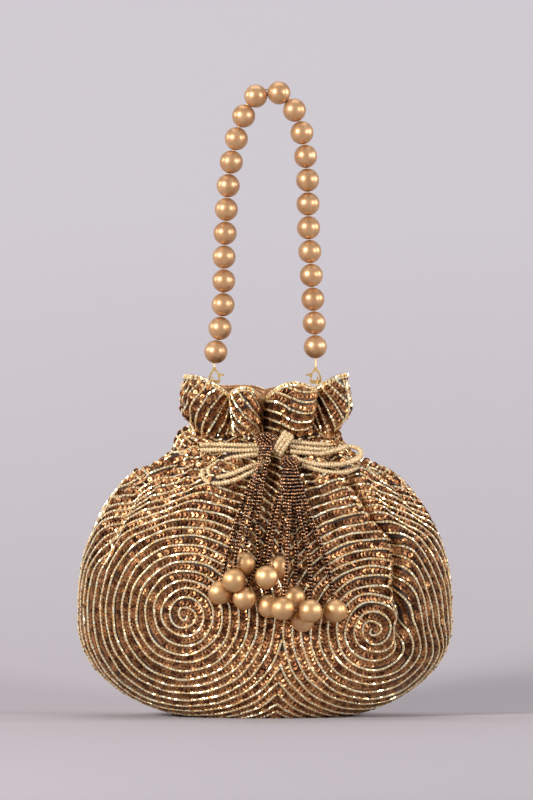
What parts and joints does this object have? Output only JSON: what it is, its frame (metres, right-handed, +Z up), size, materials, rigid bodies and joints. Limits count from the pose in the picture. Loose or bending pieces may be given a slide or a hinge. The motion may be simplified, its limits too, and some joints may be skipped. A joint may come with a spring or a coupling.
{
  "type": "potli bag",
  "caption": "Gathered drawstring evening bag of beaded cloth with a pearl bead handle, a corded bow and two beaded tassels.",
  "frame": {"origin": "on the floor under the middle of the bag", "axes": "+Z up, +X to the right of the front, the front towards -Y"},
  "size_m": [0.2224, 0.1373, 0.3801],
  "materials": {
    "beadwork": "cloth covered with copper sequins and rows of gold cut beads",
    "satin": "tan gold satin",
    "gold_cord": "braided pale gold cord",
    "antique_pearl": "antique gold pearl lacquer",
    "gold_pearl": "pale gold pearl lacquer",
    "seed_beads": "metallic bronze seed beads",
    "gilt_metal": "pale gold plated"
  },
  "bodies": {
    "bag": {"front_panel": "beadwork", "back_panel": "beadwork", "lining": "satin", "drawcord_left_upper": "gold_cord", "drawcord_left_lower": "gold_cord", "drawcord_right_upper": "gold_cord", "drawcord_right_lower": "gold_cord", "bow_left_loop": "gold_cord", "bow_left_lower_loop": "gold_cord", "bow_right_upper_loop": "gold_cord", "bow_right_lower_loop": "gold_cord", "bow_knot": "gold_cord", "left_mouth_ring": "gilt_metal", "right_mouth_ring": "gilt_metal", "left_loop_tab": "satin", "right_loop_tab": "satin"},
    "handle": {"handle_wire": "gilt_metal", "left_clasp": "gilt_metal", "right_clasp": "gilt_metal", "handle_bead_01": "antique_pearl", "handle_bead_02": "antique_pearl", "handle_bead_03": "antique_pearl", "handle_bead_04": "antique_pearl", "handle_bead_05": "antique_pearl", "handle_bead_06": "antique_pearl", "handle_bead_07": "antique_pearl", "handle_bead_08": "antique_pearl", "handle_bead_09": "antique_pearl", "handle_bead_10": "antique_pearl", "handle_bead_11": "antique_pearl", "handle_bead_12": "antique_pearl", "handle_bead_13": "antique_pearl", "handle_bead_14": "antique_pearl", "handle_bead_15": "antique_pearl", "handle_bead_16": "antique_pearl", "handle_bead_17": "antique_pearl", "handle_bead_18": "antique_pearl", "handle_bead_19": "antique_pearl", "handle_bead_20": "antique_pearl", "handle_bead_21": "antique_pearl", "handle_bead_22": "antique_pearl", "handle_bead_23": "antique_pearl", "handle_bead_24": "antique_pearl"},
    "left_trigger": {"left_trigger": "gilt_metal"},
    "right_trigger": {"right_trigger": "gilt_metal"},
    "left_tassel": {"left_tassel_strands": "seed_beads", "left_tassel_pearl_1": "gold_pearl", "left_tassel_pearl_2": "gold_pearl", "left_tassel_pearl_3": "gold_pearl", "left_tassel_pearl_4": "gold_pearl"},
    "right_tassel": {"right_tassel_strands": "seed_beads", "right_tassel_pearl_1": "gold_pearl", "right_tassel_pearl_2": "gold_pearl", "right_tassel_pearl_3": "gold_pearl", "right_tassel_pearl_4": "gold_pearl", "right_tassel_pearl_5": "gold_pearl", "right_tassel_pearl_6": "gold_pearl", "right_tassel_pearl_7": "gold_pearl", "right_tassel_pearl_8": "gold_pearl"}
  },
  "joints": [
    {"name": "handle_swing", "type": "hinge", "parent": "bag", "child": "handle", "pos_m": [0, 0, 0.2005], "axis": [1, 0, 0], "range_deg": [-62, 62]},
    {"name": "left_trigger_press", "type": "hinge", "parent": "handle", "child": "left_trigger", "pos_m": [-0.02867, 0, 0.2057], "axis": [0, 1, 0], "range_deg": [0, 30], "stiffness_Nm_per_rad": 0.02},
    {"name": "right_trigger_press", "type": "hinge", "parent": "handle", "child": "right_trigger", "pos_m": [0.02867, 0, 0.2057], "axis": [0, -1, 0], "range_deg": [0, 30], "stiffness_Nm_per_rad": 0.02},
    {"name": "left_tassel_swing", "type": "hinge", "parent": "bag", "child": "left_tassel", "pos_m": [0.0006, -0.032, 0.1664], "axis": [-1, 0, 0], "range_deg": [0, 80]},
    {"name": "right_tassel_swing", "type": "hinge", "parent": "bag", "child": "right_tassel", "pos_m": [0.0146, -0.04, 0.153], "axis": [-1, 0, 0], "range_deg": [0, 80]}
  ]
}
